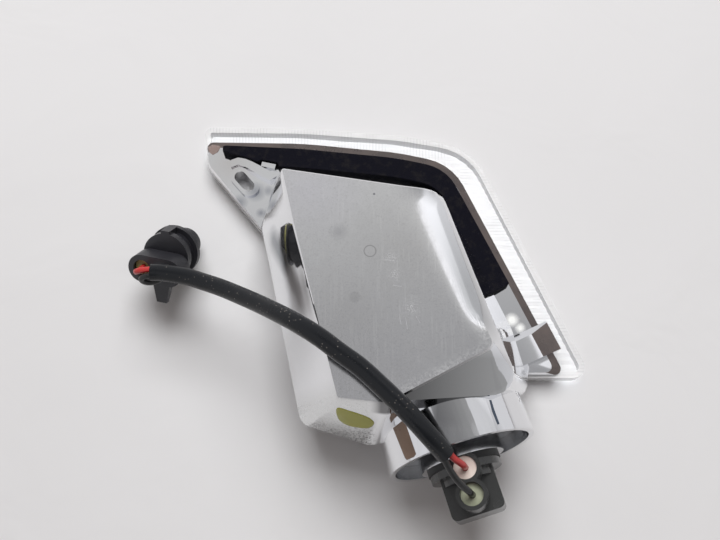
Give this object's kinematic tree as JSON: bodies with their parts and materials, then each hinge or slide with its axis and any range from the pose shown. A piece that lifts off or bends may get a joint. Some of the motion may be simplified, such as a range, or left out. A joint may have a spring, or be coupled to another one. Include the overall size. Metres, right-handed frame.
{
  "type": "rear turn signal light",
  "caption": "Scooter rear turn signal with a clear rimmed lens, metallised tub housing, round lamp collar, bulb holder, foam gasket and a sleeved lead to a sealed connector.",
  "frame": {"origin": "on the front face of the lens, about the middle of the part, 45.5 mm from the straight edge", "axes": "+Z out of the flat back of the housing, +X from the screw ear to the locating bar, +Y towards the straight edge"},
  "size_m": [0.1394, 0.1284, 0.0527],
  "materials": {
    "clear_lens": "clear, polished",
    "metallised": "vacuum metallised, mirror bright, scuffed back face",
    "foam": "closed cell foam",
    "black_plastic": "satin moulded",
    "black_rubber": "matte",
    "plated": "plated",
    "contact_metal": "stamped",
    "board": "pressed board",
    "cream_rubber": "silicone",
    "yellow_rubber": "silicone",
    "amber_glass": "tinted",
    "clear_glass": "clear",
    "black_ceramic": "glazed",
    "black_sleeve": "satin soft tube",
    "red_wire": "insulation",
    "black_wire": "insulation"
  },
  "bodies": {
    "root": {"lens": "clear_lens", "housing": "metallised", "gasket": "foam", "collar_ring": "foam", "holder_body": "black_plastic", "holder_seal": "black_rubber", "holder_sleeve": "plated", "holder_insulator": "board", "holder_contact": "contact_metal", "holder_spring": "plated", "holder_terminals": "contact_metal", "holder_wire_seals": "cream_rubber", "bulb_glass": "amber_glass", "bulb_cap": "plated", "bulb_pins": "plated", "bulb_stem": "clear_glass", "bulb_filament": "plated", "bulb_base": "black_ceramic", "bulb_tip": "plated", "cable_sleeve": "black_sleeve", "wire_red": "red_wire", "wire_black": "black_wire", "connector_body": "black_plastic", "connector_seal": "yellow_rubber", "connector_wire_seals": "yellow_rubber", "connector_terminals": "contact_metal"}
  },
  "joints": []
}
